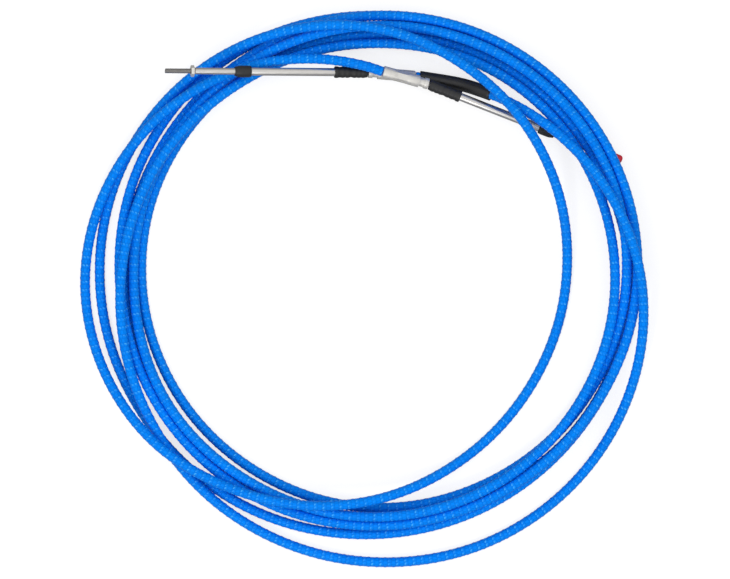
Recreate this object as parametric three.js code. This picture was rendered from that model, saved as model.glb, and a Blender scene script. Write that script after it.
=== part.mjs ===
// A boat engine control cable: a push-pull cable that works a throttle or a gear lever.
// It lies in a loose coil of seven turns. Each end has a hub, a swivelling sleeve and a sliding rod.
// Millimetres, +Z up. Angles are in degrees, counter-clockwise from +X, seen from above.

import * as THREE from 'three';

// Cable
const JACKET_DIAMETER = 9.6;
const JACKET_SIDES = 8;
const STRAND_GAP = 0.5;
const STRAND_PITCH = JACKET_DIAMETER + STRAND_GAP;
const MIN_BEND_RADIUS = 250;
const BEND_REACH = 6;
const DROP_SAMPLES = 7;
const DROP_BEND_RADIUS = 140;
const EASING_PASSES = 2;
const EASING_DROP = 0.3;
const SETTLING_ROUNDS = 12;
const BRIDGE_MARGIN = 13;
const BRIDGE_GAP = 1;

// Coil: its mean radius, and how many strands' widths each turn strays from it at every thirty degrees
const COIL_RADIUS = 232;
const FIRST_ANGLE = 90;
const SAMPLE_STEP = 6;
const STRAYS = [
  [-2.22, 0.53, 2.49, 3.04, 1.58, -1.13, -3.34, -4.80, -5.16, -4.36, -2.72, -0.68],
  [1.42, 2.44, 2.42, 1.64, 0.67, 0.04, -0.24, 0.07, 0.85, 2.07, 2.71, 2.81],
  [2.53, 2.10, 1.01, -0.26, -0.99, -1.24, -1.10, -0.45, 0.73, 2.19, 3.05, 3.15],
  [2.44, 1.07, -0.02, -0.58, -1.09, -1.43, -1.46, -0.73, 0.73, 1.69, 1.57, 1.42],
  [0.73, -0.15, -1.18, -2.26, -3.05, -3.29, -2.77, -1.83, -0.34, 1.16, 2.13, 2.19],
  [1.50, 0.53, -0.58, -1.51, -1.86, -2.20, -1.94, -1.38, -0.58, 0.16, 0.60, 0.57],
  [-0.08, -0.54, -0.48, -0.29, 0.30, 1.27, 2.28, 3.21, 3.47, 2.69, 0.68, -1.57],
];
const STRAYS_BEYOND_END = [-3.29, -3.7];
const LAST_ANGLE_OF_LAST_TURN = 426;

// Order of the turns in the pile, the lowest first, before and after the pile sorts itself out
const SORTED_FROM_ANGLE = 150;
const EARLY_ORDER = [2, 3, 4, 5, 6, 1, 0];
const LATE_ORDER = [3, 1, 2, 4, 5, 6, 0];

// Hub, measured from the middle of its ball socket towards the jacket
const HUB_DIAMETER = 11.3;
const HUB_LENGTH = 42.3;
const HUB_CHAMFER = 0.5;
const CRIMP_DEPTH = 0.35;
const CRIMP_FROM = 20;
const CRIMP_LENGTH = 10;
const CLAMP_RING_DIAMETER = 10.4;
const CLAMP_RING_HALF_WIDTH = 2;
const CLAMP_GROOVE_DIAMETER = 8.6;
const CLAMP_GROOVE_WIDTH = 5;
const CORE_PASSAGE_DIAMETER = 3.2;
const JACKET_END_GAP = 0.6;

// Sleeve, measured from the middle of its ball towards the rod's tip
const FIT_GAP = 0.3;
const BALL_DIAMETER = 7.8;
const NECK_DIAMETER = 5.2;
const NECK_END = 6;
const SLEEVE_DIAMETER = 7.6;
const SLEEVE_END = 127;
const SLEEVE_BORE_START = 9;

// Rubber boot over the swivel
const BOOT_START = 3.3;
const BOOT_END = 34.5;
const BOOT_DIAMETER = 10;
const BOOT_RIB_DIAMETER = 10.8;
const BOOT_FLANGE_DIAMETER = 11;
const BOOT_FLANGE_LENGTH = 3;
const BOOT_RIBS = 4;
const BOOT_RIB_PITCH = 4;
const BOOT_FIRST_RIB = 8;

// Wiper seal on the sleeve's mouth
const SEAL_START = 114.2;
const SEAL_END = 129.7;
const SEAL_DIAMETER = 11;
const SEAL_NOSE_DIAMETER = 9.2;
const SEAL_NOSE_LENGTH = 3.2;
const SEAL_LIP_LENGTH = 2.2;

// Push rod, drawn half way out of its sleeve
const ROD_DIAMETER = 6.35;
const ROD_INNER_END = 50;
const ROD_TRAVEL = 76.2;
const ROD_SHOULDER = SEAL_END + ROD_TRAVEL / 2;
const THREAD_DIAMETER = 4.83;
const THREAD_LENGTH = 28.2;
const ROD_CHAMFER = 0.6;
const ROD_TIP = ROD_SHOULDER + THREAD_LENGTH;

// Jam nut and thread cap
const NUT_ACROSS_FLATS = 9.5;
const NUT_THICKNESS = 3.2;
const CAP_DIAMETER = 7.8;
const CAP_LENGTH = 22;
const CAP_END_WALL = 1.5;

// Label sleeve on the jacket beside hub A
const LABEL_DIAMETER = 12.6;
const LABEL_WALL = 0.7;
const LABEL_SIDES = 12;
const LABEL_STEPS = 12;
const LABEL_LENGTH = 75;
const LABEL_DISTANCE_FROM_HUB = 2;

// Where the ends lie: the angle of each ball's middle, how many strands' widths it is inside the coil's
// mean radius, how many the ball and the seal lie up, and the directions of sleeve and hub
const END_A = {
  angle: 88.54, inset: 2.765, ballPitches: 1.416, sealPitches: 3.767,
  sleeveHeading: 180, hubHeading: -5.3, hubRise: -9,
};
const END_B = {
  angle: 73.51, inset: 2.98, ballPitches: 1.881, sealPitches: 1.191,
  sleeveHeading: -21.3, hubHeading: 165.2, hubRise: 8,
};

const ROUND_SEGMENTS = 18;

function material(color, roughness, metalness) {
  return new THREE.MeshStandardMaterial({ color, roughness, metalness });
}

const MATERIALS = {
  jacket: material(0x0a7ff0, 0.35, 0),
  rubber: material(0x1c1c1e, 0.7, 0),
  label: material(0x17181a, 0.45, 0),
  steel: material(0xc8c8c4, 0.3, 0.9),
  zinc: material(0xb9b8b2, 0.45, 0.85),
  nut: material(0xd9d6cf, 0.4, 0.8),
  cap: material(0xb5122b, 0.45, 0),
};

function direction(heading, rise) {
  const h = THREE.MathUtils.degToRad(heading);
  const r = THREE.MathUtils.degToRad(rise);
  return new THREE.Vector3(Math.cos(h) * Math.cos(r), Math.sin(h) * Math.cos(r), Math.sin(r));
}

function ballCentre(end) {
  const radius = COIL_RADIUS - end.inset * STRAND_PITCH;
  const angle = THREE.MathUtils.degToRad(end.angle);
  return new THREE.Vector3(radius * Math.cos(angle), radius * Math.sin(angle), end.ballPitches * STRAND_PITCH);
}

function sleeveRise(end) {
  const climb = (end.sealPitches - end.ballPitches) * STRAND_PITCH;
  return THREE.MathUtils.radToDeg(Math.asin(climb / SEAL_START));
}

// A value between the middle two of four evenly spaced stations
function catmullRom(a, b, c, d, t) {
  const slopeB = (c - a) / 2;
  const slopeC = (d - b) / 2;
  return b + slopeB * t + (3 * (c - b) - 2 * slopeB - slopeC) * t * t + (2 * (b - c) + slopeB + slopeC) * t ** 3;
}

function radiusAt(turnsTurned) {
  const stations = [...STRAYS.flat(), ...STRAYS_BEYOND_END].map((stray) => COIL_RADIUS + stray * STRAND_PITCH);
  const place = turnsTurned * STRAYS[0].length;
  const index = Math.floor(place);
  const before = index > 0 ? stations[index - 1] : 2 * stations[0] - stations[1];
  return catmullRom(before, stations[index], stations[index + 1], stations[index + 2], place - index);
}

// The cable seen from above: one sample at every step of the angle
function planSamples() {
  const perTurn = 360 / SAMPLE_STEP;
  const count = (STRAYS.length - 1) * perTurn + (LAST_ANGLE_OF_LAST_TURN - FIRST_ANGLE) / SAMPLE_STEP + 1;
  return Array.from({ length: count }, (_, k) => {
    const angle = THREE.MathUtils.degToRad(FIRST_ANGLE + k * SAMPLE_STEP);
    const radius = radiusAt(k / perTurn);
    const [x, y] = [radius * Math.cos(angle), radius * Math.sin(angle)];
    return { slot: k % perTurn, turn: Math.floor(k / perTurn), radius, x, y };
  });
}

// How high a strand must run where it crosses over the sleeve and rod of end B
function heightOverEndB(sample) {
  const axis = direction(END_B.sleeveHeading, sleeveRise(END_B));
  const plan = new THREE.Vector2(axis.x, axis.y).normalize();
  const ball = ballCentre(END_B);
  const offset = new THREE.Vector2(sample.x - ball.x, sample.y - ball.y);
  const along = offset.dot(plan);
  const besideAxis = Math.abs(offset.cross(plan));
  const reach = along / Math.cos(THREE.MathUtils.degToRad(sleeveRise(END_B)));
  if (reach < BOOT_END || reach > ROD_TIP + ROD_TRAVEL / 2 + JACKET_DIAMETER) {
    return 0;
  }
  const overSeal = reach > SEAL_START - JACKET_DIAMETER;
  const clear = ((overSeal ? SEAL_DIAMETER : SLEEVE_DIAMETER) + JACKET_DIAMETER) / 2 + BRIDGE_GAP;
  const across = Math.max(0, besideAxis - (overSeal ? BRIDGE_MARGIN : 0));
  return across < clear ? ball.z + axis.z * reach + Math.sqrt(clear ** 2 - across ** 2) : 0;
}

// How near two strands pass, seen from above, within half a sample of the same angle
function nearestPass(samples, one, other) {
  const apart = (step) => (samples[one + step]?.radius ?? NaN) - (samples[other + step]?.radius ?? NaN);
  const halfSteps = [apart(0), (apart(0) + apart(1)) / 2, (apart(0) + apart(-1)) / 2];
  const passes = halfSteps.filter((pass) => !Number.isNaN(pass));
  const crosses = Math.min(...passes) < 0 && Math.max(...passes) > 0;
  return crosses ? 0 : Math.min(...passes.map(Math.abs));
}

// The heights of a stiff cable that rests on the floor, on end B and on its own lower turns
function settle(samples, startHeight, endHeight) {
  const slots = Map.groupBy(samples.map((sample, k) => ({ ...sample, k })), (sample) => sample.slot);
  const props = samples.map((sample) => Math.max(JACKET_DIAMETER / 2, heightOverEndB(sample)));
  props[0] = startHeight;
  props[samples.length - 1] = endHeight;
  const sampleArc = THREE.MathUtils.degToRad(SAMPLE_STEP);
  const firstOfDrop = samples.length - DROP_SAMPLES;
  const bendRadius = (k) => (k < firstOfDrop ? MIN_BEND_RADIUS : DROP_BEND_RADIUS);
  const sags = samples.map((sample, k) => (sampleArc * sample.radius) ** 2 / (2 * bendRadius(k)));
  let heights = [...props];
  const pileUp = (members, slot) => {
    const order = FIRST_ANGLE + slot * SAMPLE_STEP < SORTED_FROM_ANGLE ? EARLY_ORDER : LATE_ORDER;
    const pile = order.map((turn) => members.find((member) => member.turn === turn)).filter(Boolean);
    pile.forEach((upper, i) => pile.slice(0, i).forEach((lower) => {
      const apart = nearestPass(samples, upper.k, lower.k);
      if (apart < STRAND_PITCH) {
        props[upper.k] = Math.max(props[upper.k], heights[lower.k] + Math.sqrt(STRAND_PITCH ** 2 - apart ** 2));
      }
    }));
  };
  for (let round = 0; round < SETTLING_ROUNDS; round += 1) {
    slots.forEach(pileUp);
    // the cable leaves each prop on an arc, and lifts off the bottom of a valley too sharp for it
    heights = props.map((_, k) => {
      const arc = props.slice(Math.max(0, k - BEND_REACH), k + BEND_REACH + 1);
      return Math.max(...arc.map((prop, i) => prop - (Math.max(0, k - BEND_REACH) + i - k) ** 2 * sags[k]));
    });
    for (let k = 1; k < samples.length - 1; k += 1) {
      heights[k] = Math.max(heights[k], (heights[k - 1] + heights[k + 1]) / 2 - sags[k]);
    }
    // its own stiffness evens out what is left, as far as the slack between the strands lets it
    for (let pass = 0; pass < EASING_PASSES; pass += 1) {
      heights = heights.map((height, k) => {
        const eased = (heights[k - 1] + 2 * height + heights[k + 1]) / 4;
        const isHeld = k === 0 || k >= firstOfDrop;
        return isHeld ? height : Math.max(props[k] - EASING_DROP, eased);
      });
    }
  }
  return heights;
}

// The middle line of the jacket, from hub B round seven turns to hub A
function cableRoute() {
  const samples = planSamples();
  const hubFace = (end) => {
    const axis = direction(end.hubHeading, end.hubRise);
    return ballCentre(end).addScaledVector(axis, HUB_LENGTH + JACKET_END_GAP);
  };
  const start = hubFace(END_B);
  const finish = hubFace(END_A);
  const lead = Math.hypot(samples[0].x - start.x, samples[0].y - start.y);
  const startHeight = start.z + lead * Math.tan(THREE.MathUtils.degToRad(END_B.hubRise));
  const heights = settle(samples, startHeight, Math.max(LABEL_DIAMETER, JACKET_DIAMETER) / 2);
  const points = samples.map((sample, k) => new THREE.Vector3(sample.x, sample.y, heights[k]));
  const route = new THREE.CatmullRomCurve3([start, ...points, finish], false, 'catmullrom', 0.5);
  route.arcLengthDivisions = points.length * 6;
  return route;
}

// A stretch of the jacket's middle line, along the same straight steps as the jacket itself
function stretch(route, from, to, points) {
  const steps = route.points.length - 1;
  const rings = route.getSpacedPoints(steps);
  const parts = Array.from({ length: points }, (_, i) => {
    const place = ((from + ((to - from) * i) / (points - 1)) / route.getLength()) * steps;
    const ring = Math.floor(place);
    return rings[ring].clone().lerp(rings[ring + 1], place - ring);
  });
  return new THREE.CatmullRomCurve3(parts);
}

function ringShape(diameter, sides, bore = 0) {
  const corners = (size) => Array.from({ length: sides }, (_, i) => {
    const angle = (i / sides) * 2 * Math.PI;
    return new THREE.Vector2((size / 2) * Math.cos(angle), (size / 2) * Math.sin(angle));
  });
  const shape = new THREE.Shape(corners(diameter));
  if (bore > 0) {
    shape.holes.push(new THREE.Path(corners(bore)));
  }
  return shape;
}

function tubeAlong(route, shape, steps) {
  return new THREE.ExtrudeGeometry(shape, { extrudePath: route, steps, bevelEnabled: false });
}

// A solid turned about +X from corners given as [distance along +X, diameter]
function turned(outer, inner = []) {
  const start = outer[0][0];
  const finish = outer[outer.length - 1][0];
  const bore = inner.length > 0 ? [...inner].reverse() : [[finish, 0], [start, 0]];
  const loop = [...outer, ...bore, outer[0]];
  const corners = loop.map(([along, size]) => new THREE.Vector2(size / 2, along));
  const geometry = new THREE.LatheGeometry(corners, ROUND_SEGMENTS);
  return geometry.rotateZ(-Math.PI / 2);
}

// Corners of the part of a ball between two distances from its middle
function ballCorners(diameter, from, to, count) {
  return Array.from({ length: count }, (_, i) => {
    const along = from + ((to - from) * i) / (count - 1);
    return [along, 2 * Math.sqrt((diameter / 2) ** 2 - along ** 2)];
  });
}

function hubGeometry() {
  const grooveStart = CLAMP_RING_HALF_WIDTH;
  const grooveEnd = grooveStart + CLAMP_GROOVE_WIDTH;
  const crimpDiameter = HUB_DIAMETER - 2 * CRIMP_DEPTH;
  const socketDiameter = BALL_DIAMETER + 2 * FIT_GAP;
  const socketDepth = Math.sqrt(socketDiameter ** 2 - CORE_PASSAGE_DIAMETER ** 2) / 2;
  const outer = [
    [-CLAMP_RING_HALF_WIDTH, CLAMP_RING_DIAMETER],
    [grooveStart, CLAMP_RING_DIAMETER],
    [grooveStart, CLAMP_GROOVE_DIAMETER],
    [grooveEnd, CLAMP_GROOVE_DIAMETER],
    [grooveEnd, HUB_DIAMETER],
    [CRIMP_FROM, HUB_DIAMETER],
    [CRIMP_FROM + CRIMP_LENGTH / 3, crimpDiameter],
    [CRIMP_FROM + (2 * CRIMP_LENGTH) / 3, crimpDiameter],
    [CRIMP_FROM + CRIMP_LENGTH, HUB_DIAMETER],
    [HUB_LENGTH - HUB_CHAMFER, HUB_DIAMETER],
    [HUB_LENGTH, HUB_DIAMETER - 2 * HUB_CHAMFER],
  ];
  const inner = [
    ...ballCorners(socketDiameter, -CLAMP_RING_HALF_WIDTH, socketDepth, 7),
    [HUB_LENGTH, CORE_PASSAGE_DIAMETER],
  ];
  return turned(outer, inner);
}

function sleeveGeometry() {
  const neckStart = Math.sqrt(BALL_DIAMETER ** 2 - NECK_DIAMETER ** 2) / 2;
  const ballBack = -Math.sqrt(BALL_DIAMETER ** 2 - (CORE_PASSAGE_DIAMETER + 1) ** 2) / 2;
  const outer = [
    ...ballCorners(BALL_DIAMETER, ballBack, neckStart, 8),
    [NECK_END, NECK_DIAMETER],
    [NECK_END + (SLEEVE_DIAMETER - NECK_DIAMETER) / 2, SLEEVE_DIAMETER],
    [SLEEVE_END, SLEEVE_DIAMETER],
  ];
  const inner = [
    [ballBack, CORE_PASSAGE_DIAMETER],
    [SLEEVE_BORE_START, CORE_PASSAGE_DIAMETER],
    [SLEEVE_BORE_START, ROD_DIAMETER + 2 * FIT_GAP],
    [SLEEVE_END, ROD_DIAMETER + 2 * FIT_GAP],
  ];
  return turned(outer, inner);
}

function bootGeometry() {
  const ribs = Array.from({ length: BOOT_RIBS }, (_, i) => {
    const start = BOOT_FIRST_RIB + i * BOOT_RIB_PITCH;
    return [
      [start, BOOT_DIAMETER],
      [start + BOOT_RIB_PITCH / 4, BOOT_RIB_DIAMETER],
      [start + BOOT_RIB_PITCH / 2, BOOT_RIB_DIAMETER],
      [start + (3 * BOOT_RIB_PITCH) / 4, BOOT_DIAMETER],
    ];
  }).flat();
  const bore = SLEEVE_DIAMETER + 2 * FIT_GAP;
  const outer = [
    [BOOT_START, BOOT_DIAMETER],
    ...ribs,
    [BOOT_END - BOOT_FLANGE_LENGTH, BOOT_DIAMETER],
    [BOOT_END - BOOT_FLANGE_LENGTH, BOOT_FLANGE_DIAMETER],
    [BOOT_END, BOOT_FLANGE_DIAMETER],
  ];
  return turned(outer, [[BOOT_START, bore], [BOOT_END, bore]]);
}

function sealGeometry() {
  const mouth = SLEEVE_END + FIT_GAP;
  const outer = [
    [SEAL_START, SEAL_DIAMETER],
    [SEAL_END - SEAL_NOSE_LENGTH, SEAL_DIAMETER],
    [SEAL_END, SEAL_NOSE_DIAMETER],
  ];
  const inner = [
    [SEAL_START, SLEEVE_DIAMETER + 2 * FIT_GAP],
    [mouth, SLEEVE_DIAMETER + 2 * FIT_GAP],
    [mouth, ROD_DIAMETER + 2 * FIT_GAP],
    [SEAL_END, ROD_DIAMETER + 2 * FIT_GAP],
  ];
  return turned(outer, inner);
}

function rodGeometry() {
  return turned([
    [ROD_INNER_END, ROD_DIAMETER - 2 * ROD_CHAMFER],
    [ROD_INNER_END + ROD_CHAMFER, ROD_DIAMETER],
    [ROD_SHOULDER - ROD_CHAMFER, ROD_DIAMETER],
    [ROD_SHOULDER, THREAD_DIAMETER],
    [ROD_TIP - ROD_CHAMFER, THREAD_DIAMETER],
    [ROD_TIP, THREAD_DIAMETER - 2 * ROD_CHAMFER],
  ]);
}

function nutGeometry() {
  const acrossCorners = NUT_ACROSS_FLATS / Math.cos(Math.PI / 6);
  const shape = ringShape(acrossCorners, 6);
  shape.holes.push(new THREE.Path(ringShape(THREAD_DIAMETER + 2 * FIT_GAP, ROUND_SEGMENTS).getPoints()));
  const geometry = new THREE.ExtrudeGeometry(shape, { depth: NUT_THICKNESS, bevelEnabled: false });
  return geometry.rotateY(Math.PI / 2).translate(ROD_SHOULDER + FIT_GAP, 0, 0);
}

function capGeometry() {
  const end = ROD_TIP + FIT_GAP + CAP_END_WALL;
  const start = end - CAP_LENGTH;
  const bore = THREAD_DIAMETER + 2 * FIT_GAP;
  const outer = [
    [start, CAP_DIAMETER],
    ...ballCorners(CAP_DIAMETER, 0, CAP_DIAMETER / 3, 4).map(([along, size]) => [end - CAP_DIAMETER / 3 + along, size]),
  ];
  return turned(outer, [[start, bore], [ROD_TIP + FIT_GAP, bore], [ROD_TIP + FIT_GAP, 0], [end, 0]]);
}

function addMesh(parent, name, geometry, look) {
  const mesh = new THREE.Mesh(geometry, look);
  mesh.name = name;
  parent.add(mesh);
  return mesh;
}

// A group whose +X runs along the given heading and rise from the end's ball
function axisGroup(end, heading, rise) {
  const axis = new THREE.Group();
  axis.position.copy(ballCentre(end));
  axis.rotation.set(0, THREE.MathUtils.degToRad(-rise), THREE.MathUtils.degToRad(heading), 'ZYX');
  return axis;
}

function endFitting(end, letter) {
  const fitting = new THREE.Group();
  const hub = axisGroup(end, end.hubHeading, end.hubRise);
  const sleeve = axisGroup(end, end.sleeveHeading, sleeveRise(end));
  addMesh(hub, `hub_${letter}`, hubGeometry(), MATERIALS.zinc);
  addMesh(sleeve, `sleeve_tube_${letter}`, sleeveGeometry(), MATERIALS.steel);
  addMesh(sleeve, `boot_${letter}`, bootGeometry(), MATERIALS.rubber);
  addMesh(sleeve, `wiper_seal_${letter}`, sealGeometry(), MATERIALS.rubber);
  addMesh(sleeve, `push_rod_${letter}`, rodGeometry(), MATERIALS.steel);
  addMesh(sleeve, `jam_nut_${letter}`, nutGeometry(), MATERIALS.nut);
  fitting.add(hub, sleeve);
  return { fitting, sleeve };
}

function cable(route) {
  const steps = route.points.length - 1;
  const mesh = new THREE.Mesh(tubeAlong(route, ringShape(JACKET_DIAMETER, JACKET_SIDES), steps), MATERIALS.jacket);
  mesh.name = 'cable_jacket';
  return mesh;
}

function labelSleeve(route) {
  const end = route.getLength() - LABEL_DISTANCE_FROM_HUB;
  const path = stretch(route, end - LABEL_LENGTH, end, LABEL_STEPS + 1);
  const shape = ringShape(LABEL_DIAMETER, LABEL_SIDES, LABEL_DIAMETER - 2 * LABEL_WALL);
  const mesh = new THREE.Mesh(tubeAlong(path, shape, LABEL_STEPS), MATERIALS.label);
  mesh.name = 'label_sleeve';
  return mesh;
}

// The middle of the finished object's underside becomes the origin
function centreOnFloor(object) {
  object.updateMatrixWorld(true);
  const box = new THREE.Box3().setFromObject(object, true);
  const middle = box.getCenter(new THREE.Vector3());
  object.position.set(-middle.x, -middle.y, -box.min.z);
}

function controlCable() {
  const object = new THREE.Group();
  const route = cableRoute();
  const endA = endFitting(END_A, 'a');
  const endB = endFitting(END_B, 'b');
  addMesh(endB.sleeve, 'thread_cap_b', capGeometry(), MATERIALS.cap);
  object.add(cable(route), labelSleeve(route), endA.fitting, endB.fitting);
  centreOnFloor(object);
  return object;
}

export default controlCable();
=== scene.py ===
"""A boat engine control cable, lying in a loose coil on a white studio floor."""

import math

import bmesh
import bpy
import numpy as np
from mathutils import Matrix, Vector


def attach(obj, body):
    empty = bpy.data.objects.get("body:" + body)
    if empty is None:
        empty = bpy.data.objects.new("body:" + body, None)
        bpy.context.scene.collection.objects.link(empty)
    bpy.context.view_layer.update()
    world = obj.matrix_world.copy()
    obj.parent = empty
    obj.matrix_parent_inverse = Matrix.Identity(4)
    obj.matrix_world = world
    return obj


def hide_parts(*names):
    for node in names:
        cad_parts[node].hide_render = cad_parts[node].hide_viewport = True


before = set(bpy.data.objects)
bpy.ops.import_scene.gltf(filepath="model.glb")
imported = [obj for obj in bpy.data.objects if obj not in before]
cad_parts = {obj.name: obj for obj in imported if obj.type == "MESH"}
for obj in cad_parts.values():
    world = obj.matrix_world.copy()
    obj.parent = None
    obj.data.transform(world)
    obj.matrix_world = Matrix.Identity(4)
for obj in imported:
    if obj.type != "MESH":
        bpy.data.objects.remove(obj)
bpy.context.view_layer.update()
MM = 0.001

# Camera: the cable was photographed from straight above with a long lens. The width of the view
# is what one frame of the photograph takes in on the floor, in metres.
VIEW_WIDTH = 0.6862
VIEW_MIDDLE = (0.00117, -0.00046)
VIEW_DEPTH = 40
LENS = 300.0
camera = bpy.data.objects.new("camera", bpy.data.cameras.new("camera"))
camera.data.lens = LENS
camera.data.clip_end = VIEW_DEPTH
height_above_floor = VIEW_WIDTH * LENS / camera.data.sensor_width
camera.location = (*VIEW_MIDDLE, height_above_floor)
bpy.context.scene.collection.objects.link(camera)
bpy.context.scene.camera = camera

# Blue jacket: one extruded plastic skin over the wound wires of the conduit, whose weave shows
# through it as small staggered pads. It starts in hub B, makes seven loose turns and ends in hub A.
# Sizes here and below are in millimetres and angles in degrees.
JACKET_DIAMETER = 9.6
STRAND_GAP = 0.5
STRAND_PITCH = JACKET_DIAMETER + STRAND_GAP
COIL_RADIUS = 232
FIRST_ANGLE = 90
LAST_ANGLE_OF_LAST_TURN = 426
SAMPLE_STEP = 6
SAMPLES_PER_TURN = 360 // SAMPLE_STEP

# How far each turn strays outwards from the coil's radius, every 30 degrees, counted in strands.
STRAYS = [
    [-2.22, 0.53, 2.49, 3.04, 1.58, -1.13, -3.34, -4.80, -5.16, -4.36, -2.72, -0.68],
    [1.42, 2.44, 2.42, 1.64, 0.67, 0.04, -0.24, 0.07, 0.85, 2.07, 2.71, 2.81],
    [2.53, 2.10, 1.01, -0.26, -0.99, -1.24, -1.10, -0.45, 0.73, 2.19, 3.05, 3.15],
    [2.44, 1.07, -0.02, -0.58, -1.09, -1.43, -1.46, -0.73, 0.73, 1.69, 1.57, 1.42],
    [0.73, -0.15, -1.18, -2.26, -3.05, -3.29, -2.77, -1.83, -0.34, 1.16, 2.13, 2.19],
    [1.50, 0.53, -0.58, -1.51, -1.86, -2.20, -1.94, -1.38, -0.58, 0.16, 0.60, 0.57],
    [-0.08, -0.54, -0.48, -0.29, 0.30, 1.27, 2.28, 3.21, 3.47, 2.69, 0.68, -1.57],
]
STRAYS_BEYOND_END = [-3.29, -3.7]

# The turns from the lowest to the highest, before and after the angle where their order changes.
SORTED_FROM_ANGLE = 150
EARLY_ORDER = [2, 3, 4, 5, 6, 1, 0]
LATE_ORDER = [3, 1, 2, 4, 5, 6, 0]

# How stiffly the cable lies over what it crosses, and drops to the label at its end.
MIN_BEND_RADIUS = 250
BEND_REACH = 6
DROP_SAMPLES = 7
DROP_BEND_RADIUS = 140
SETTLING_ROUNDS = 12
EASING_PASSES = 2
EASING_DROP = 0.3
BRIDGE_MARGIN = 13
BRIDGE_GAP = 1

# What the route needs to know of the fittings, measured along each end's axis from its ball.
HUB_LENGTH = 42.3
JACKET_END_GAP = 0.6
SLEEVE_DIAMETER = 7.6
BOOT_END = 34.5
SEAL_START = 114.2
SEAL_DIAMETER = 11
ROD_TIP = 196
ROD_TRAVEL = 76.2
LABEL_DIAMETER = 12.6

# The two ends. How far the ball lies inside the coil, and how high the ball and the seal lie, are
# counted in strands.
END_A = {
    "angle": 88.54, "inset": 2.765, "ball_pitches": 1.416, "seal_pitches": 3.767,
    "sleeve_heading": 180, "hub_heading": -5.3, "hub_rise": -9,
}
END_B = {
    "angle": 73.51, "inset": 2.98, "ball_pitches": 1.881, "seal_pitches": 1.191,
    "sleeve_heading": -21.3, "hub_heading": 165.2, "hub_rise": 8,
}
ENDS = {"a": END_A, "b": END_B}

# From the middle of the coil's turns to the frame's origin, the middle of the whole underside.
FRAME_MIDDLE = Vector((1.175, -0.901, -0.006))


def direction(heading, rise):
    """The unit vector with this heading from the X axis and this rise above the floor."""
    h, r = math.radians(heading), math.radians(rise)
    return Vector((math.cos(h) * math.cos(r), math.sin(h) * math.cos(r), math.sin(r)))


def ball_centre(end):
    """The middle of an end's ball, measured from the middle of the coil's turns."""
    radius, angle = COIL_RADIUS - end["inset"] * STRAND_PITCH, math.radians(end["angle"])
    height = end["ball_pitches"] * STRAND_PITCH
    return Vector((radius * math.cos(angle), radius * math.sin(angle), height))


def sleeve_rise(end):
    """How steeply a sleeve climbs from its ball to its seal."""
    climb = (end["seal_pitches"] - end["ball_pitches"]) * STRAND_PITCH
    return math.degrees(math.asin(climb / SEAL_START))


def smooth_between(a, b, c, d, share):
    """The smooth curve from b to c, as it comes from a and goes on to d."""
    slope_b, slope_c = (c - a) / 2, (d - b) / 2
    square = 3 * (c - b) - 2 * slope_b - slope_c
    cube = 2 * (b - c) + slope_b + slope_c
    return b + slope_b * share + square * share**2 + cube * share**3


def plan_samples():
    """The cable seen from above: its radius, x and y at every step of the angle."""
    strays = [*sum(STRAYS, []), *STRAYS_BEYOND_END]
    stations = [COIL_RADIUS + stray * STRAND_PITCH for stray in strays]
    stations.insert(0, 2 * stations[0] - stations[1])
    last_turn = (LAST_ANGLE_OF_LAST_TURN - FIRST_ANGLE) // SAMPLE_STEP + 1
    samples = []
    for k in range((len(STRAYS) - 1) * SAMPLES_PER_TURN + last_turn):
        place = k / SAMPLES_PER_TURN * len(STRAYS[0])
        i = int(place)
        radius = smooth_between(*stations[i : i + 4], place - i)
        angle = math.radians(FIRST_ANGLE + k * SAMPLE_STEP)
        x, y = radius * math.cos(angle), radius * math.sin(angle)
        samples.append({"radius": radius, "x": x, "y": y})
    return samples


def height_over_end_b(sample):
    """How high a strand runs where it crosses over the sleeve and rod of end B, or else nought."""
    rise = sleeve_rise(END_B)
    axis, ball = direction(END_B["sleeve_heading"], rise), ball_centre(END_B)
    plan = Vector((axis.x, axis.y)).normalized()
    offset = Vector((sample["x"] - ball.x, sample["y"] - ball.y))
    beside = abs(offset.x * plan.y - offset.y * plan.x)
    reach = offset.dot(plan) / math.cos(math.radians(rise))
    if reach < BOOT_END or reach > ROD_TIP + ROD_TRAVEL / 2 + JACKET_DIAMETER:
        return 0
    over_seal = reach > SEAL_START - JACKET_DIAMETER
    clear = ((SEAL_DIAMETER if over_seal else SLEEVE_DIAMETER) + JACKET_DIAMETER) / 2 + BRIDGE_GAP
    across = max(0, beside - (BRIDGE_MARGIN if over_seal else 0))
    return ball.z + axis.z * reach + math.sqrt(clear**2 - across**2) if across < clear else 0


def nearest_pass(samples, one, other):
    """How near two strands pass, seen from above, within half a sample of the same angle."""
    def apart(step):
        i, j = one + step, other + step
        inside = 0 <= i < len(samples) and 0 <= j < len(samples)
        return samples[i]["radius"] - samples[j]["radius"] if inside else None

    steps = [(apart(0), apart(0)), (apart(0), apart(1)), (apart(0), apart(-1))]
    passes = [(a + b) / 2 for a, b in steps if a is not None and b is not None]
    return 0 if min(passes) < 0 < max(passes) else min(abs(p) for p in passes)


def prop_on_lower_turns(props, heights, samples):
    """Raises the props of each strand to where it rests on the strands below it."""
    for slot in range(SAMPLES_PER_TURN):
        early = FIRST_ANGLE + slot * SAMPLE_STEP < SORTED_FROM_ANGLE
        strands = [t * SAMPLES_PER_TURN + slot for t in (EARLY_ORDER if early else LATE_ORDER)]
        pile = [strand for strand in strands if strand < len(samples)]
        for i, upper in enumerate(pile):
            for lower in pile[:i]:
                apart = nearest_pass(samples, upper, lower)
                if apart < STRAND_PITCH:
                    rest = heights[lower] + math.sqrt(STRAND_PITCH**2 - apart**2)
                    props[upper] = max(props[upper], rest)


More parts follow.
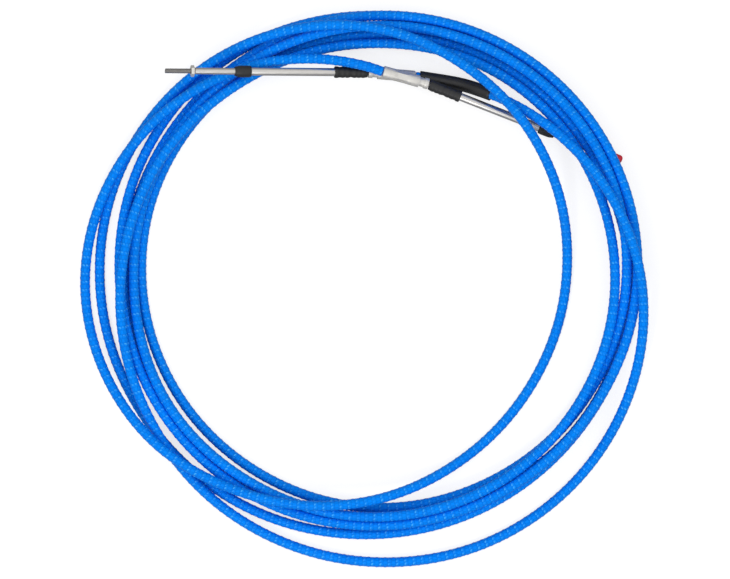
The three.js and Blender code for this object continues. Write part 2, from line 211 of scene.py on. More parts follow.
def settled_heights(samples, start_height, end_height):
    """The heights of a stiff cable that rests on the floor, on end B and on its own lower turns."""
    props = [max(JACKET_DIAMETER / 2, height_over_end_b(sample)) for sample in samples]
    props[0], props[-1] = start_height, end_height
    last, drop = len(samples) - 1, len(samples) - DROP_SAMPLES
    bends = [MIN_BEND_RADIUS] * drop + [DROP_BEND_RADIUS] * DROP_SAMPLES
    arc = math.radians(SAMPLE_STEP)
    sags = [(arc * sample["radius"]) ** 2 / (2 * bend) for sample, bend in zip(samples, bends)]
    heights = list(props)
    for _ in range(SETTLING_ROUNDS):
        prop_on_lower_turns(props, heights, samples)
        heights = [
            max(
                props[j] - (j - k) ** 2 * sags[k]
                for j in range(max(0, k - BEND_REACH), min(last, k + BEND_REACH) + 1)
            )
            for k in range(len(samples))
        ]
        for k in range(1, last):
            heights[k] = max(heights[k], (heights[k - 1] + heights[k + 1]) / 2 - sags[k])
        for _ in range(EASING_PASSES):
            eased = [(a + 2 * b + c) / 4 for a, b, c in zip(heights, heights[1:], heights[2:])]
            heights[1:drop] = [max(prop - EASING_DROP, z) for prop, z in zip(props[1:drop], eased)]
    return heights


def jacket_route():
    """The turning points of the jacket's middle line, from hub B to hub A."""
    samples = plan_samples()
    start, finish = (
        ball_centre(end) + direction(end["hub_heading"], end["hub_rise"]) * (HUB_LENGTH + JACKET_END_GAP)
        for end in (END_B, END_A)
    )
    lead = math.hypot(samples[0]["x"] - start.x, samples[0]["y"] - start.y)
    start_height = start.z + lead * math.tan(math.radians(END_B["hub_rise"]))
    heights = settled_heights(samples, start_height, LABEL_DIAMETER / 2)
    points = [Vector((s["x"], s["y"], z)) for s, z in zip(samples, heights)]
    return [p + FRAME_MIDDLE for p in (start, *points, finish)]


CUTS_BETWEEN_POINTS = 24


def even_steps(points, step):
    """The smooth line through the points, in metres, cut into steps of nearly the given length."""
    ends = [2 * points[0] - points[1], *points, 2 * points[-1] - points[-2]]
    p = np.array(ends) * MM
    shares = np.linspace(0, 1, CUTS_BETWEEN_POINTS, endpoint=False)[None, :, None]
    spans = smooth_between(*(p[i : len(p) - 3 + i, None, :] for i in range(4)), shares)
    line = np.vstack([spans.reshape(-1, 3), p[-2]])
    run = np.concatenate([[0], np.cumsum(np.linalg.norm(np.diff(line, axis=0), axis=1))])
    places = np.linspace(0, run[-1], round(run[-1] / step) + 1)
    return np.column_stack([np.interp(places, run, line[:, i]) for i in range(3)]), places


def swept_tube(name, line, diameter, sides):
    """A closed round tube along a line, with a ring of so many sides at each of its points."""
    curve = bpy.data.curves.new(name, "CURVE")
    curve.dimensions, curve.twist_mode, curve.use_fill_caps = "3D", "Z_UP", True
    curve.bevel_depth, curve.bevel_resolution = diameter / 2, sides // 2 - 2
    spline = curve.splines.new("POLY")
    spline.points.add(len(line) - 1)
    spline.points.foreach_set("co", np.column_stack([line, np.ones(len(line))]).ravel())
    former = bpy.data.objects.new(name, curve)
    mesh = bpy.data.meshes.new_from_object(former)
    bpy.data.objects.remove(former)
    mesh.name = name
    mesh.polygons.foreach_set("use_smooth", [True] * len(mesh.polygons))
    return mesh


def placed(name, mesh, body):
    """Puts a finished mesh in the scene, and says which body it rides on."""
    piece = bpy.data.objects.new(name, mesh)
    bpy.context.scene.collection.objects.link(piece)
    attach(piece, body)
    return piece


PAD_LENGTH = 3.9 * MM
PADS_AROUND = 8
PAD_RISE = 0.09 * MM
HOLLOW_DEPTH = 0.18 * MM
GROOVE_DEPTH = 0.3 * MM
SIDES = 2 * PADS_AROUND
jacket_line, jacket_run = even_steps(jacket_route(), PAD_LENGTH / 2)
jacket_mesh = swept_tube("jacket", jacket_line, JACKET_DIAMETER * MM, SIDES)

# Every second ring is pressed in as a groove, and those between have pads and hollows by turns. The
# mesh starts with the rims of its two end caps, the far one first.
corners = np.empty(len(jacket_mesh.vertices) * 3)
jacket_mesh.vertices.foreach_get("co", corners)
corners = corners.reshape(-1, 3)
ring, side = np.divmod(np.arange(len(corners)), SIDES)
ring -= 2
ring[:SIDES], ring[SIDES : 2 * SIDES] = len(jacket_line) - 1, 0
row_middle = ring % 2 == 1
on_pad = row_middle & ((ring // 2 + side) % 2 == 0)
lift = np.where(on_pad, PAD_RISE, np.where(row_middle, -HOLLOW_DEPTH, -GROOVE_DEPTH))
middle = jacket_line[ring]
corners = middle + (corners - middle) * (1 + lift / (JACKET_DIAMETER * MM / 2))[:, None]
jacket_mesh.vertices.foreach_set("co", corners.ravel())
crest = jacket_mesh.attributes.new("crest", "FLOAT", "POINT")
crest.data.foreach_set("value", (on_pad & (side % 2 == 0)).astype(float))

# The skin map counts pads along the cable and round it. On the faces that close the ring it goes on
# to the full round instead of back to nought.
loops = np.empty(len(jacket_mesh.loops), int)
jacket_mesh.loops.foreach_get("vertex_index", loops)
sizes = np.empty(len(jacket_mesh.polygons), int)
jacket_mesh.polygons.foreach_get("loop_total", sizes)
face_of = np.repeat(np.arange(len(sizes)), sizes)
loop_side = side[loops].astype(float)
widest = np.zeros(len(sizes))
np.maximum.at(widest, face_of, loop_side)
loop_side[(loop_side == 0) & (widest[face_of] == SIDES - 1)] = SIDES
skin_map = jacket_mesh.uv_layers.new(name="skin")
skin_map.data.foreach_set("uv", np.column_stack([ring[loops] / 2, loop_side / 2]).ravel())

SAME_PLACE = 1e-6


def welded(mesh):
    """Joins the end caps of a swept tube to its skin."""
    bm = bmesh.new()
    bm.from_mesh(mesh)
    bmesh.ops.remove_doubles(bm, verts=bm.verts, dist=SAME_PLACE)
    bm.to_mesh(mesh)
    bm.free()


welded(jacket_mesh)

JACKET_BLUE = (0.0008, 0.25, 1.0, 1)
# Painted shade: a darker blue for the grooves between the pads, also used for the random mottle.
JACKET_PAINTED_SHADE_AND_MOTTLE = (0.0005, 0.1, 0.6, 1)
# Painted highlight: the paler blue painted on the ticks along the crests of the pads.
JACKET_PAINTED_HIGHLIGHT = (0.09, 0.52, 1.0, 1)
JACKET_SHEEN = (0.2, 0.75, 1.0, 1)
JACKET_IOR = 1.25
JACKET_ROUGHNESS = (0.2, 0.34)
# How far the grooves between the pads are darkened as painted shade.
PAINTED_SHADE_IN_GROOVES = 0.3
SHADE_IN_MOTTLE = 0.25
TICK_SLANT = 0.3
TICK_EDGES = (0.05, 0.24)
TICK_ENDS = (0.08, 0.4)
# How strongly the ticks are lightened as painted highlight, from patch to patch.
TICK_PAINTED_HIGHLIGHT = (0.1, 0.75)
GROOVE_RELIEF = 0.3 * MM
TICK_RELIEF = 0.16 * MM
PEEL_RELIEF = 0.08 * MM


def plain_finish(name, colour, roughness, metallic=0.0):
    """A material with one shader, with its node tree and that shader."""
    material = bpy.data.materials.new(name)
    material.use_nodes = True
    shader = material.node_tree.nodes["Principled BSDF"]
    shader.inputs["Base Color"].default_value = colour
    shader.inputs["Roughness"].default_value = roughness
    shader.inputs["Metallic"].default_value = metallic
    return material, material.node_tree, shader


def fill(tree, socket, value):
    """Sets an input to a number or colour, or links it to the output of another node."""
    if isinstance(value, bpy.types.NodeSocket):
        tree.links.new(value, socket)
    else:
        socket.default_value = value


def node(tree, kind, **settings):
    """A shader node with its inputs and settings filled in by name."""
    made = tree.nodes.new(f"ShaderNode{kind}")
    for key, value in settings.items():
        if key in made.inputs:
            fill(tree, made.inputs[key], value)
        else:
            setattr(made, key, value)
    return made


def worked_out(tree, operation, *terms, clamp=False):
    """The result of one operation on its terms."""
    made = node(tree, "Math", operation=operation, use_clamp=clamp)
    for socket, term in zip(made.inputs, terms):
        fill(tree, socket, term)
    return made.outputs[0]


def spread(tree, value, before, after):
    """Spreads the range of a value from before to after, and holds it there beyond its ends."""
    ends = dict(zip(("From Min", "From Max", "To Min", "To Max"), (*before, *after)))
    return node(tree, "MapRange", Value=value, **ends).outputs[0]


def mixed(tree, share, one, other):
    """The colour that lies this share of the way from one to the other."""
    return node(tree, "Mix", data_type="RGBA", Factor=share, A=one, B=other).outputs["Result"]


def bumped(tree, height, strength, distance, **settings):
    """The normals of a surface whose height varies by this distance in metres."""
    bump = node(tree, "Bump", Height=height, Strength=strength, Distance=distance, **settings)
    return bump.outputs["Normal"]


def noise(tree, vector, scale, detail, roughness=0.5):
    """A cloudy pattern, with its scale in clouds a metre."""
    clouds = node(tree, "TexNoise", Vector=vector, Scale=scale, Detail=detail, Roughness=roughness)
    return clouds.outputs["Fac"]


def jacket_ticks(tree, skin, place):
    """The slanted crosswise ridges on every second row of pads, and the painted highlight that lightens
    each one.
    """
    run = node(tree, "SeparateXYZ", Vector=skin)
    round_pad = worked_out(tree, "FRACT", worked_out(tree, "ADD", run.outputs["Y"], 0.5))
    slanted = worked_out(tree, "MULTIPLY_ADD", round_pad, TICK_SLANT, run.outputs["X"])
    off_middle = worked_out(tree, "SUBTRACT", worked_out(tree, "FRACT", slanted), 0.5)
    across = spread(tree, worked_out(tree, "ABSOLUTE", off_middle), TICK_EDGES, (1.0, 0.0))
    on_crest = node(tree, "Attribute", attribute_type="GEOMETRY", attribute_name="crest")
    along_tick = spread(tree, on_crest.outputs["Fac"], TICK_ENDS, (0.0, 1.0))
    ticks = worked_out(tree, "MULTIPLY", across, along_tick)
    # Painted highlight on the ticks, stronger in some patches than in others.
    patches = spread(tree, noise(tree, place, 300.0, 1.0), (0.4, 0.62), TICK_PAINTED_HIGHLIGHT)
    return ticks, worked_out(tree, "MULTIPLY", ticks, patches, clamp=True)


def jacket_finish():
    """Glossy blue plastic, with painted shade in the grooves between the pads and a painted highlight on
    the ticks, and a little uneven.
    """
    material, tree, shader = plain_finish("blue_jacket", JACKET_BLUE, JACKET_ROUGHNESS[1])
    shader.inputs["Specular Tint"].default_value = JACKET_SHEEN
    shader.inputs["IOR"].default_value = JACKET_IOR
    skin = node(tree, "UVMap", uv_map="skin").outputs["UV"]
    place = node(tree, "TexCoord").outputs["Object"]
    quarter_turned = node(tree, "Mapping", Vector=skin, Rotation=(0, 0, math.pi / 2))
    grooves = node(
        tree, "TexBrick", Vector=quarter_turned.outputs["Vector"], Scale=1.0,
        offset=0.5, offset_frequency=2, squash=1.0,
        **{"Mortar Size": 0.11, "Mortar Smooth": 0.9, "Brick Width": 1.0, "Row Height": 1.0},
    ).outputs["Fac"]
    mottle = noise(tree, place, 55.0, 4.0, 0.6)
    # Painted shade in the grooves between the pads, added to the random mottle.
    painted_groove_shade = worked_out(tree, "MULTIPLY", grooves, PAINTED_SHADE_IN_GROOVES)
    in_mottle = spread(tree, mottle, (0.35, 0.75), (0.0, SHADE_IN_MOTTLE))
    painted_shade_and_mottle = worked_out(tree, "ADD", painted_groove_shade, in_mottle, clamp=True)
    ticks, painted_highlight = jacket_ticks(tree, skin, place)
    # The colour: blue with painted shade in the grooves and mottle, then the painted highlight on the
    # ticks.
    colour = mixed(tree, painted_highlight, mixed(tree, painted_shade_and_mottle, JACKET_BLUE, JACKET_PAINTED_SHADE_AND_MOTTLE), JACKET_PAINTED_HIGHLIGHT)
    relief = bumped(tree, grooves, 0.7, GROOVE_RELIEF, invert=True)
    ridges = bumped(tree, ticks, 0.6, TICK_RELIEF, Normal=relief)
    orange_peel = bumped(tree, noise(tree, place, 900.0, 2.0), 0.25, PEEL_RELIEF, Normal=ridges)
    fill(tree, shader.inputs["Base Color"], colour)
    fill(tree, shader.inputs["Normal"], orange_peel)
    fill(tree, shader.inputs["Roughness"], spread(tree, mottle, (0.3, 0.7), JACKET_ROUGHNESS))
    return material


jacket_mesh.materials.append(jacket_finish())
jacket = placed("jacket", jacket_mesh, "cable")
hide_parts("cable_jacket")

# Label sleeve: a satin black plastic wrap, shrunk on by heat round the last stretch of the jacket.
# It ends beside hub A, follows the cable's bend and has a plain outside.
LABEL_LENGTH = 75
LABEL_DISTANCE_FROM_HUB = 2
LABEL_SIDES = 32
label_end = jacket_run[-1] - LABEL_DISTANCE_FROM_HUB * MM
on_label = (jacket_run > label_end - LABEL_LENGTH * MM) & (jacket_run < label_end)
label_mesh = swept_tube("label", jacket_line[on_label], LABEL_DIAMETER * MM, LABEL_SIDES)
welded(label_mesh)

DARK_GRAIN = 0.78
LIGHT_GRAIN = 1.18
GLOSSY_GRAIN = 0.8
DULL_GRAIN = 1.25


def grained(name, colour, roughness, metallic, scale, depth, stretch=(1, 1, 1)):
    """A finish with a fine grain: its scale in grains a metre and its depth in millimetres."""
    material, tree, shader = plain_finish(name, colour, roughness, metallic)
    lay = node(tree, "Mapping", Vector=node(tree, "TexCoord").outputs["Object"], Scale=stretch)
    grain = noise(tree, lay.outputs["Vector"], scale, 4.0, 0.6)
    dark = [c * DARK_GRAIN for c in colour[:3]] + [1]
    light = [min(1, c * LIGHT_GRAIN) for c in colour[:3]] + [1]
    gloss = (roughness * GLOSSY_GRAIN, roughness * DULL_GRAIN)
    fill(tree, shader.inputs["Base Color"], mixed(tree, grain, dark, light))
    fill(tree, shader.inputs["Normal"], bumped(tree, grain, 0.6, depth * MM))
    fill(tree, shader.inputs["Roughness"], spread(tree, grain, (0.3, 0.7), gloss))
    return material


label_mesh.materials.append(grained("black_label", (0.012, 0.012, 0.013, 1), 0.42, 0.0, 260.0, 0.05))
label = placed("label", label_mesh, "cable")
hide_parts("label_sleeve")

# Hubs: zinc-plated steel barrels, crimped on the jacket's ends with six flats. Each has a groove
# for a clamp, and a ring in which the ball of the sleeve tube turns.
HUB_DIAMETER = 11.3
HUB_CHAMFER = 0.5
RING_DIAMETER = 10.4
RING_HALF_WIDTH = 2
GROOVE_DIAMETER = 8.6
GROOVE_END = 7
CORE_PASSAGE = 3.2
CRIMP_DIAMETER = 11.1
CRIMP_FROM = 17
CRIMP_LENGTH = 14
CRIMP_TO = CRIMP_FROM + CRIMP_LENGTH
CRIMP_EASE = 3
CRIMP_FLATS = 6
HUB_SIDES = 12 * CRIMP_FLATS
BALL_DIAMETER = 7.8
BALL_CORNERS = 12
FIT_GAP = 0.3
EDGE_ROUNDING = 0.15
SHARP_ANGLE = 35


def turned(name, profile, sides=64):
    """A closed mesh turned about the X axis from its outline: places along it and diameters."""
    bm = bmesh.new()
    corners = [bm.verts.new((x * MM, 0, size / 2 * MM)) for x, size in profile]
    for one, other in zip(corners, corners[1:] + corners[:1]):
        bm.edges.new((one, other))
    bmesh.ops.spin(
        bm, geom=bm.verts[:] + bm.edges[:], cent=(0, 0, 0), axis=(1, 0, 0), dvec=(0, 0, 0),
        angle=2 * math.pi, steps=sides, use_merge=True, use_normal_flip=False, use_duplicate=False,
    )
    bmesh.ops.remove_doubles(bm, verts=bm.verts, dist=SAME_PLACE)
    bmesh.ops.recalc_face_normals(bm, faces=bm.faces)
    mesh = bpy.data.meshes.new(name)
    bm.to_mesh(mesh)
    bm.free()
    return mesh


def along(end, heading, rise):
    """The place and turn of a piece whose own X axis runs from the end's ball in that direction."""
    turn = Matrix.Rotation(math.radians(heading), 4, "Z") @ Matrix.Rotation(math.radians(-rise), 4, "Y")
    return Matrix.Translation((ball_centre(end) + FRAME_MIDDLE) * MM) @ turn


def finished(mesh, place, material, edge=EDGE_ROUNDING):
    """Moves a mesh to its place and gives it its material, smooth faces and softened edges."""
    sharp = math.radians(SHARP_ANGLE)
    bm = bmesh.new()
    bm.from_mesh(mesh)
    if edge > 0:
        hard = [e for e in bm.edges if e.is_manifold and e.calc_face_angle(0) > sharp]
        bmesh.ops.bevel(
            bm, geom=hard, offset=edge * MM, offset_type="OFFSET", segments=2, profile=0.5,
            affect="EDGES", material=-1, clamp_overlap=True,
        )
    bm.to_mesh(mesh)
    bm.free()
    mesh.transform(place)
    mesh.polygons.foreach_set("use_smooth", [True] * len(mesh.polygons))
    mesh.set_sharp_from_angle(angle=sharp)
    mesh.materials.append(material)
    return mesh


def ball_profile(diameter, start, stop):
    """The outline of a ball about the origin, between two places on its axis."""
    places = [start + (stop - start) * i / (BALL_CORNERS - 1) for i in range(BALL_CORNERS)]
    return [(x, 2 * math.sqrt((diameter / 2) ** 2 - x**2)) for x in places]


def crimped(mesh):
    """Presses the flats into the crimped stretch of a barrel, deepest at its middle."""
    corner = 2 * math.pi / CRIMP_FLATS
    for vertex in mesh.vertices:
        place, radius = vertex.co.x / MM, vertex.co.yz.length / MM
        if CRIMP_FROM < place < CRIMP_TO and radius > CORE_PASSAGE:
            beside_flat = math.atan2(vertex.co.z, vertex.co.y) % corner - corner / 2
            flat = CRIMP_DIAMETER / 2 * math.cos(corner / 2) / math.cos(beside_flat)
            depth = min(1, (place - CRIMP_FROM) / CRIMP_EASE, (CRIMP_TO - place) / CRIMP_EASE)
            vertex.co.yz *= (radius + (flat - radius) * depth) / radius
    return mesh


socket = BALL_DIAMETER + 2 * FIT_GAP
socket_depth = math.sqrt(socket**2 - CORE_PASSAGE**2) / 2
HUB_PROFILE = [
    (-RING_HALF_WIDTH, RING_DIAMETER), (RING_HALF_WIDTH, RING_DIAMETER),
    (RING_HALF_WIDTH, GROOVE_DIAMETER), (GROOVE_END, GROOVE_DIAMETER), (GROOVE_END, HUB_DIAMETER),
    (CRIMP_FROM - 1, HUB_DIAMETER),
    *((CRIMP_FROM + 0.5 + i, CRIMP_DIAMETER) for i in range(CRIMP_LENGTH)),
    (CRIMP_TO + 1, HUB_DIAMETER), (HUB_LENGTH - HUB_CHAMFER, HUB_DIAMETER),
    (HUB_LENGTH, HUB_DIAMETER - 2 * HUB_CHAMFER), (HUB_LENGTH, CORE_PASSAGE),
    *ball_profile(socket, socket_depth, -RING_HALF_WIDTH),
]
hub_material = grained("plated_hub", (0.70, 0.685, 0.65, 1), 0.5, 0.65, 420.0, 0.16)
for letter, end in ENDS.items():
    mesh = crimped(turned(f"hub_{letter}_barrel", HUB_PROFILE, HUB_SIDES))
    finished(mesh, along(end, end["hub_heading"], end["hub_rise"]), hub_material)
    barrel = placed(f"hub_{letter}_barrel", mesh, "cable")
    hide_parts(f"hub_{letter}")

# Sleeve tubes: polished stainless tubes that guide the push rods. The ball formed on the inner end
# of each, before a narrow neck, swivels in the ring of the hub.
NECK_DIAMETER = 5.2
NECK_END = 6
SLEEVE_END = 127
SLEEVE_BORE_START = 9
ROD_DIAMETER = 6.35
ROD_BORE = ROD_DIAMETER + 2 * FIT_GAP
DRAWN_LAY = (1, 8, 8)
ball_back = -math.sqrt(BALL_DIAMETER**2 - (CORE_PASSAGE + 1) ** 2) / 2
neck_start = math.sqrt(BALL_DIAMETER**2 - NECK_DIAMETER**2) / 2
SLEEVE_PROFILE = [
    *ball_profile(BALL_DIAMETER, ball_back, neck_start), (NECK_END, NECK_DIAMETER),
    (NECK_END + (SLEEVE_DIAMETER - NECK_DIAMETER) / 2, SLEEVE_DIAMETER),
    (SLEEVE_END, SLEEVE_DIAMETER), (SLEEVE_END, ROD_BORE), (SLEEVE_BORE_START, ROD_BORE),
    (SLEEVE_BORE_START, CORE_PASSAGE), (ball_back, CORE_PASSAGE),
]
sleeve_material = grained(
    "stainless_tube", (0.60, 0.585, 0.565, 1), 0.34, 1.0, 90.0, 0.006, DRAWN_LAY,
)


def on_sleeve(end):
    """The place and turn of what lies along an end's sleeve tube."""
    return along(end, end["sleeve_heading"], sleeve_rise(end))


for letter, end in ENDS.items():
    mesh = finished(turned(f"sleeve_{letter}_tube", SLEEVE_PROFILE), on_sleeve(end), sleeve_material)
    tube = placed(f"sleeve_{letter}_tube", mesh, f"sleeve_{letter}")
    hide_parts(f"sleeve_tube_{letter}")

# Boots: soft black rubber bellows that keep dirt out of the swivels. Each is pushed over the tube
# up to the ring of the hub, with three ribs, a neck, two more ribs and a flange.
BOOT_START = 3.3
BOOT_MOUTH_DIAMETER = 9.4
BOOT_WAIST = 10.1
BOOT_RIB_DIAMETER = 10.7
BOOT_FLANGE_DIAMETER = 11
BOOT_FLANGE_LENGTH = 3
BOOT_BORE = SLEEVE_DIAMETER + 2 * FIT_GAP
BOOT_LIP = 0.4
BOOT_EDGE = 0.3
RIBS_BY_HUB = (7.2, 11.3, 15.4)
BOOT_NECK = 18.8
BOOT_NECK_DIAMETER = 9.3
RIBS_BEYOND_NECK = (22.2, 26.8)
RIB_SHOULDER = BOOT_RIB_DIAMETER - 0.1
RIB = [
    (-1.7, BOOT_WAIST), (-0.7, RIB_SHOULDER), (0, BOOT_RIB_DIAMETER), (0.7, RIB_SHOULDER),
    (1.7, BOOT_WAIST),
]


def shifted(outline, *places):
    """The points of an outline, moved along the axis to each of the places."""
    return [(place + x, size) for place in places for x, size in outline]


BOOT_PROFILE = [
    (BOOT_START, BOOT_MOUTH_DIAMETER), *shifted(RIB, *RIBS_BY_HUB),
    (BOOT_NECK, BOOT_NECK_DIAMETER), *shifted(RIB, *RIBS_BEYOND_NECK),
    (BOOT_END - BOOT_FLANGE_LENGTH - 1, BOOT_WAIST),
    (BOOT_END - BOOT_FLANGE_LENGTH, BOOT_FLANGE_DIAMETER),
    (BOOT_END - BOOT_LIP, BOOT_FLANGE_DIAMETER), (BOOT_END, BOOT_FLANGE_DIAMETER - 2 * BOOT_LIP),
    (BOOT_END, BOOT_BORE), (BOOT_START, BOOT_BORE),
]
rubber_material = grained("black_rubber", (0.014, 0.014, 0.015, 1), 0.5, 0.0, 700.0, 0.12)
for letter, end in ENDS.items():
    mesh = turned(f"boot_{letter}_bellows", BOOT_PROFILE)
    finished(mesh, on_sleeve(end), rubber_material, BOOT_EDGE)
    boot = placed(f"boot_{letter}_bellows", mesh, f"sleeve_{letter}")
    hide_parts(f"boot_{letter}")

# Wiper seals: black rubber collars, pushed on the mouths of the sleeve tubes. Each is a little
# barrel-shaped, and its short nose wipes the rod that slides through it.
SEAL_END = 129.7
SEAL_NOSE_DIAMETER = 8.6
SEAL_EDGE = 0.35
SEAL_BACK = [(0, SEAL_DIAMETER - 1), (1.2, SEAL_DIAMETER - 0.3), (3, SEAL_DIAMETER)]
SEAL_NOSE = [(-6, SEAL_DIAMETER), (-4, SEAL_DIAMETER - 0.4), (0, SEAL_NOSE_DIAMETER)]
seal_mouth = SLEEVE_END + FIT_GAP
SEAL_PROFILE = [
    *shifted(SEAL_BACK, SEAL_START), *shifted(SEAL_NOSE, SEAL_END), (SEAL_END, ROD_BORE),
    (seal_mouth, ROD_BORE), (seal_mouth, BOOT_BORE), (SEAL_START, BOOT_BORE),
]
for letter, end in ENDS.items():
    mesh = turned(f"seal_{letter}_collar", SEAL_PROFILE)
    finished(mesh, on_sleeve(end), rubber_material, SEAL_EDGE)
    seal = placed(f"seal_{letter}_collar", mesh, f"sleeve_{letter}")
    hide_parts(f"wiper_seal_{letter}")

# Push rods: bright drawn steel, half way out of the sleeve tubes. Beyond a small shoulder, the last
# 28 mm of each has a rolled thread.
ROD_INNER_END = 50
ROD_SHOULDER = SEAL_END + ROD_TRAVEL / 2
ROD_CHAMFER = 0.6
THREAD_DIAMETER = 4.83
THREAD_PITCH = 0.794
THREAD_DEPTH = 0.45
THREAD_ROOT_WIDTH = 0.12
THREAD_CREST = (0.35, 0.5)
THREAD_TURNS = int((ROD_TIP - ROD_SHOULDER) / THREAD_PITCH)
THREAD_RUN_IN = 0.4
THREAD_STEPS = 24
ROD_PROFILE = [
    (ROD_INNER_END, 0), (ROD_INNER_END, ROD_DIAMETER - 2 * ROD_CHAMFER),
    (ROD_INNER_END + ROD_CHAMFER, ROD_DIAMETER), (ROD_SHOULDER - ROD_CHAMFER, ROD_DIAMETER),
    (ROD_SHOULDER, THREAD_DIAMETER), (ROD_SHOULDER, 0),
]
rod_material = grained("bright_rod", (0.58, 0.565, 0.545, 1), 0.34, 1.0, 90.0, 0.006, DRAWN_LAY)
thread_material = grained("steel_thread", (0.40, 0.39, 0.38, 1), 0.4, 0.9, 500.0, 0.02)


def thread_mesh(name):
    """A rolled screw thread: one zigzag outline, spun once round while it moves on by one pitch."""
    bm = bmesh.new()
    root = THREAD_DIAMETER / 2 - THREAD_DEPTH
    tooth = [(0, root), (THREAD_ROOT_WIDTH, root), *((x, THREAD_DIAMETER / 2) for x in THREAD_CREST)]
    starts = [ROD_SHOULDER - THREAD_RUN_IN + turn * THREAD_PITCH for turn in range(THREAD_TURNS + 1)]
    outline = [*shifted(tooth, *starts[:-1]), (starts[-1], root)]
    corners = [bm.verts.new((x * MM, 0, r * MM)) for x, r in outline]
    for one, other in zip(corners, corners[1:]):
        bm.edges.new((one, other))
    bmesh.ops.spin(
        bm, geom=bm.verts[:] + bm.edges[:], cent=(0, 0, 0), axis=(1, 0, 0),
        dvec=(THREAD_PITCH * MM / THREAD_STEPS, 0, 0), angle=2 * math.pi, steps=THREAD_STEPS,
        use_merge=False, use_normal_flip=False, use_duplicate=False,
    )
    bmesh.ops.remove_doubles(bm, verts=bm.verts, dist=2 * SAME_PLACE)
    bmesh.ops.holes_fill(bm, edges=[e for e in bm.edges if e.is_boundary], sides=0)
    bmesh.ops.recalc_face_normals(bm, faces=bm.faces)
    mesh = bpy.data.meshes.new(name)
    bm.to_mesh(mesh)
    bm.free()
    return mesh


for letter, end in ENDS.items():
    shaft_mesh = finished(turned(f"rod_{letter}_shaft", ROD_PROFILE), on_sleeve(end), rod_material)
    shaft = placed(f"rod_{letter}_shaft", shaft_mesh, f"rod_{letter}")
    screw_mesh = finished(thread_mesh(f"rod_{letter}_thread"), on_sleeve(end), thread_material, edge=0)
    screw = placed(f"rod_{letter}_thread", screw_mesh, f"rod_{letter}")
    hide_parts(f"push_rod_{letter}")
    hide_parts(f"push_rod_{letter}")

# Jam nuts: small zinc-plated hexagon nuts with chamfered faces, one on each rod. They are run down
# to the shoulder, where the thread begins.
NUT_ACROSS_FLATS = 9.5
NUT_THICKNESS = 3.2
NUT_CHAMFER = 0.35
NUT_BORE_SIDES = 24
THREAD_CLEARANCE = 0.1
THREADED_BORE = THREAD_DIAMETER + THREAD_CLEARANCE
nut_material = grained("zinc_nut", (0.74, 0.72, 0.68, 1), 0.4, 0.7, 300.0, 0.01)


def on_nut_rim(edge):
    """Whether an edge runs round the outside of one of the nut's two faces."""
    one, other = (v.co for v in edge.verts)
    outside = min(one.xy.length, other.xy.length) > NUT_ACROSS_FLATS / 2 * MM
    sharp = edge.calc_face_angle(0) > math.radians(SHARP_ANGLE)
    return outside and sharp and abs(one.z - other.z) < SAME_PLACE


def nut_mesh(name):
    """A hexagon bar with a bore, whose corners are turned off to a chamfer on both faces."""
    bm = bmesh.new()
    corner_radius = NUT_ACROSS_FLATS / math.cos(math.pi / 6) / 2 * MM
    bore_radius = THREADED_BORE / 2 * MM
    bmesh.ops.create_circle(bm, cap_ends=False, radius=corner_radius, segments=6)
    bmesh.ops.create_circle(bm, cap_ends=False, radius=bore_radius, segments=NUT_BORE_SIDES)
    bmesh.ops.triangle_fill(bm, use_beauty=True, use_dissolve=False, edges=bm.edges[:])
    body = bmesh.ops.extrude_face_region(bm, geom=bm.faces[:])
    raised = [v for v in body["geom"] if isinstance(v, bmesh.types.BMVert)]
    bmesh.ops.translate(bm, verts=raised, vec=(0, 0, NUT_THICKNESS * MM))
    bmesh.ops.recalc_face_normals(bm, faces=bm.faces)
    bmesh.ops.bevel(
        bm, geom=[e for e in bm.edges if on_nut_rim(e)], offset=NUT_CHAMFER * MM,
        offset_type="OFFSET", segments=2, profile=0.5, affect="EDGES", material=-1,
        clamp_overlap=True,
    )
    bmesh.ops.rotate(bm, verts=bm.verts, cent=(0, 0, 0), matrix=Matrix.Rotation(math.pi / 2, 3, "Y"))
    bmesh.ops.translate(bm, verts=bm.verts, vec=((ROD_SHOULDER + FIT_GAP) * MM, 0, 0))
    mesh = bpy.data.meshes.new(name)
    bm.to_mesh(mesh)
    bm.free()
    return mesh


for letter, end in ENDS.items():
    mesh = finished(nut_mesh(f"nut_{letter}"), on_sleeve(end), nut_material, edge=0)
    nut = placed(f"nut_{letter}", mesh, f"rod_{letter}")
    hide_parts(f"jam_nut_{letter}")

# Thread cap: a soft red vinyl cap with a rounded end, moulded by dipping. It is pushed over the
# thread of rod B to protect it, and rod A has none.
CAP_DIAMETER = 7.8
CAP_LENGTH = 22
CAP_END_WALL = 1.5
CAP_DOME = [
    (-2.6, CAP_DIAMETER), (-1.5, CAP_DIAMETER - 0.6), (-0.5, CAP_DIAMETER - 2.2),
    (0, CAP_DIAMETER - 4.6), (0, 0),
]
cap_floor = ROD_TIP + FIT_GAP
cap_end = cap_floor + CAP_END_WALL
cap_start = cap_end - CAP_LENGTH
CAP_PROFILE = [
    (cap_start, CAP_DIAMETER), *shifted(CAP_DOME, cap_end), (cap_floor, 0),
    (cap_floor, THREADED_BORE), (cap_start, THREADED_BORE),
]
cap_material = grained("red_vinyl", (0.66, 0.008, 0.035, 1), 0.38, 0.0, 500.0, 0.05)
mesh = finished(turned("cap_b", CAP_PROFILE), on_sleeve(END_B), cap_material)
cap = placed("cap_b", mesh, "rod_b")
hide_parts("thread_cap_b")

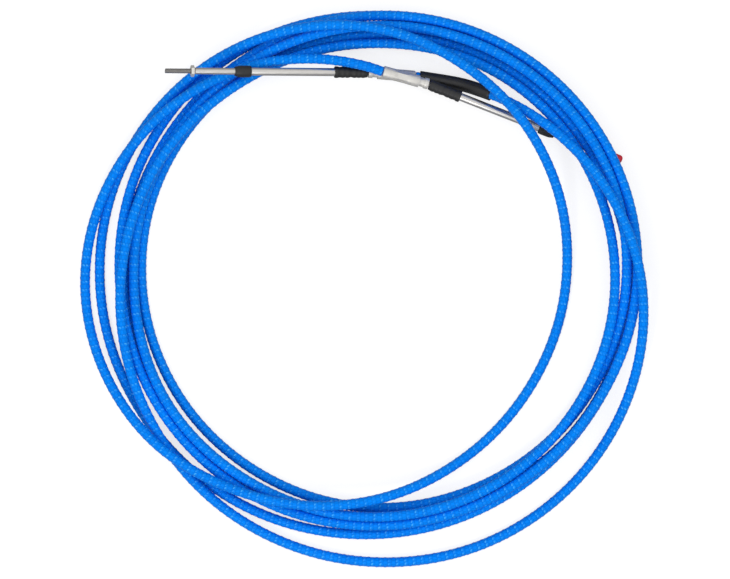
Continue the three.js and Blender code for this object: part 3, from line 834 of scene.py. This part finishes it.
# Studio: a glowing white floor, as on a light table, under a bright ceiling that dims towards the
# horizon, with one soft light from the near side that gives the plastic and the metal their shine.
FLOOR_HALF_WIDTH = 12
FLOOR_DROP = 0.4 * MM
FLOOR_GREY = (0.4, 0.4, 0.4, 1)
FLOOR_ROUGHNESS = 0.9
FLOOR_GLOW = 0.72
floor_bm = bmesh.new()
bmesh.ops.create_grid(floor_bm, x_segments=1, y_segments=1, size=FLOOR_HALF_WIDTH)
bmesh.ops.translate(floor_bm, verts=floor_bm.verts, vec=(0, 0, -FLOOR_DROP))
floor_mesh = bpy.data.meshes.new("floor")
floor_bm.to_mesh(floor_mesh)
floor_bm.free()
floor_finish, tree, floor_shader = plain_finish("white_floor", FLOOR_GREY, FLOOR_ROUGHNESS)
floor_shader.inputs["Specular IOR Level"].default_value = 0.0
floor_shader.inputs["Emission Color"].default_value = (1, 1, 1, 1)
seen = node(tree, "LightPath").outputs["Is Camera Ray"]
glow = worked_out(tree, "MULTIPLY", seen, FLOOR_GLOW)
fill(tree, floor_shader.inputs["Emission Strength"], glow)
floor_mesh.materials.append(floor_finish)
floor = bpy.data.objects.new("floor", floor_mesh)
bpy.context.scene.collection.objects.link(floor)

LAMP_PLACE = (-0.5, -1.5, 1.9)
LAMP_WIDTH = 0.3
LAMP_WATTS = 10
near_side = bpy.data.lights.new("near_side", "AREA")
near_side.shape, near_side.size, near_side.energy = "SQUARE", LAMP_WIDTH, LAMP_WATTS
lamp = bpy.data.objects.new("near_side", near_side)
lamp.location = LAMP_PLACE
lamp.rotation_mode = "QUATERNION"
lamp.rotation_quaternion = (-Vector(LAMP_PLACE)).to_track_quat("-Z", "Y")
lamp.visible_camera = False
bpy.context.scene.collection.objects.link(lamp)

CEILING_LIGHT = 1.15
HORIZON_LIGHT = 0.3
BACKDROP_LIGHT = 1.0
world = bpy.data.worlds.new("studio")
bpy.context.scene.world = world
world.use_nodes = True
tree = world.node_tree
sky = tree.nodes["Background"]
toward = node(tree, "SeparateXYZ", Vector=node(tree, "TexCoord").outputs["Generated"])
ceiling = spread(tree, toward.outputs["Z"], (0.1, 0.9), (HORIZON_LIGHT, CEILING_LIGHT))
seen = node(tree, "LightPath").outputs["Is Camera Ray"]
strength = node(tree, "Mix", data_type="FLOAT", Factor=seen, A=ceiling, B=BACKDROP_LIGHT)
fill(tree, sky.inputs["Strength"], strength.outputs["Result"])
sky.inputs["Color"].default_value = (1, 1, 1, 1)
bpy.context.scene.view_settings.view_transform = "Standard"
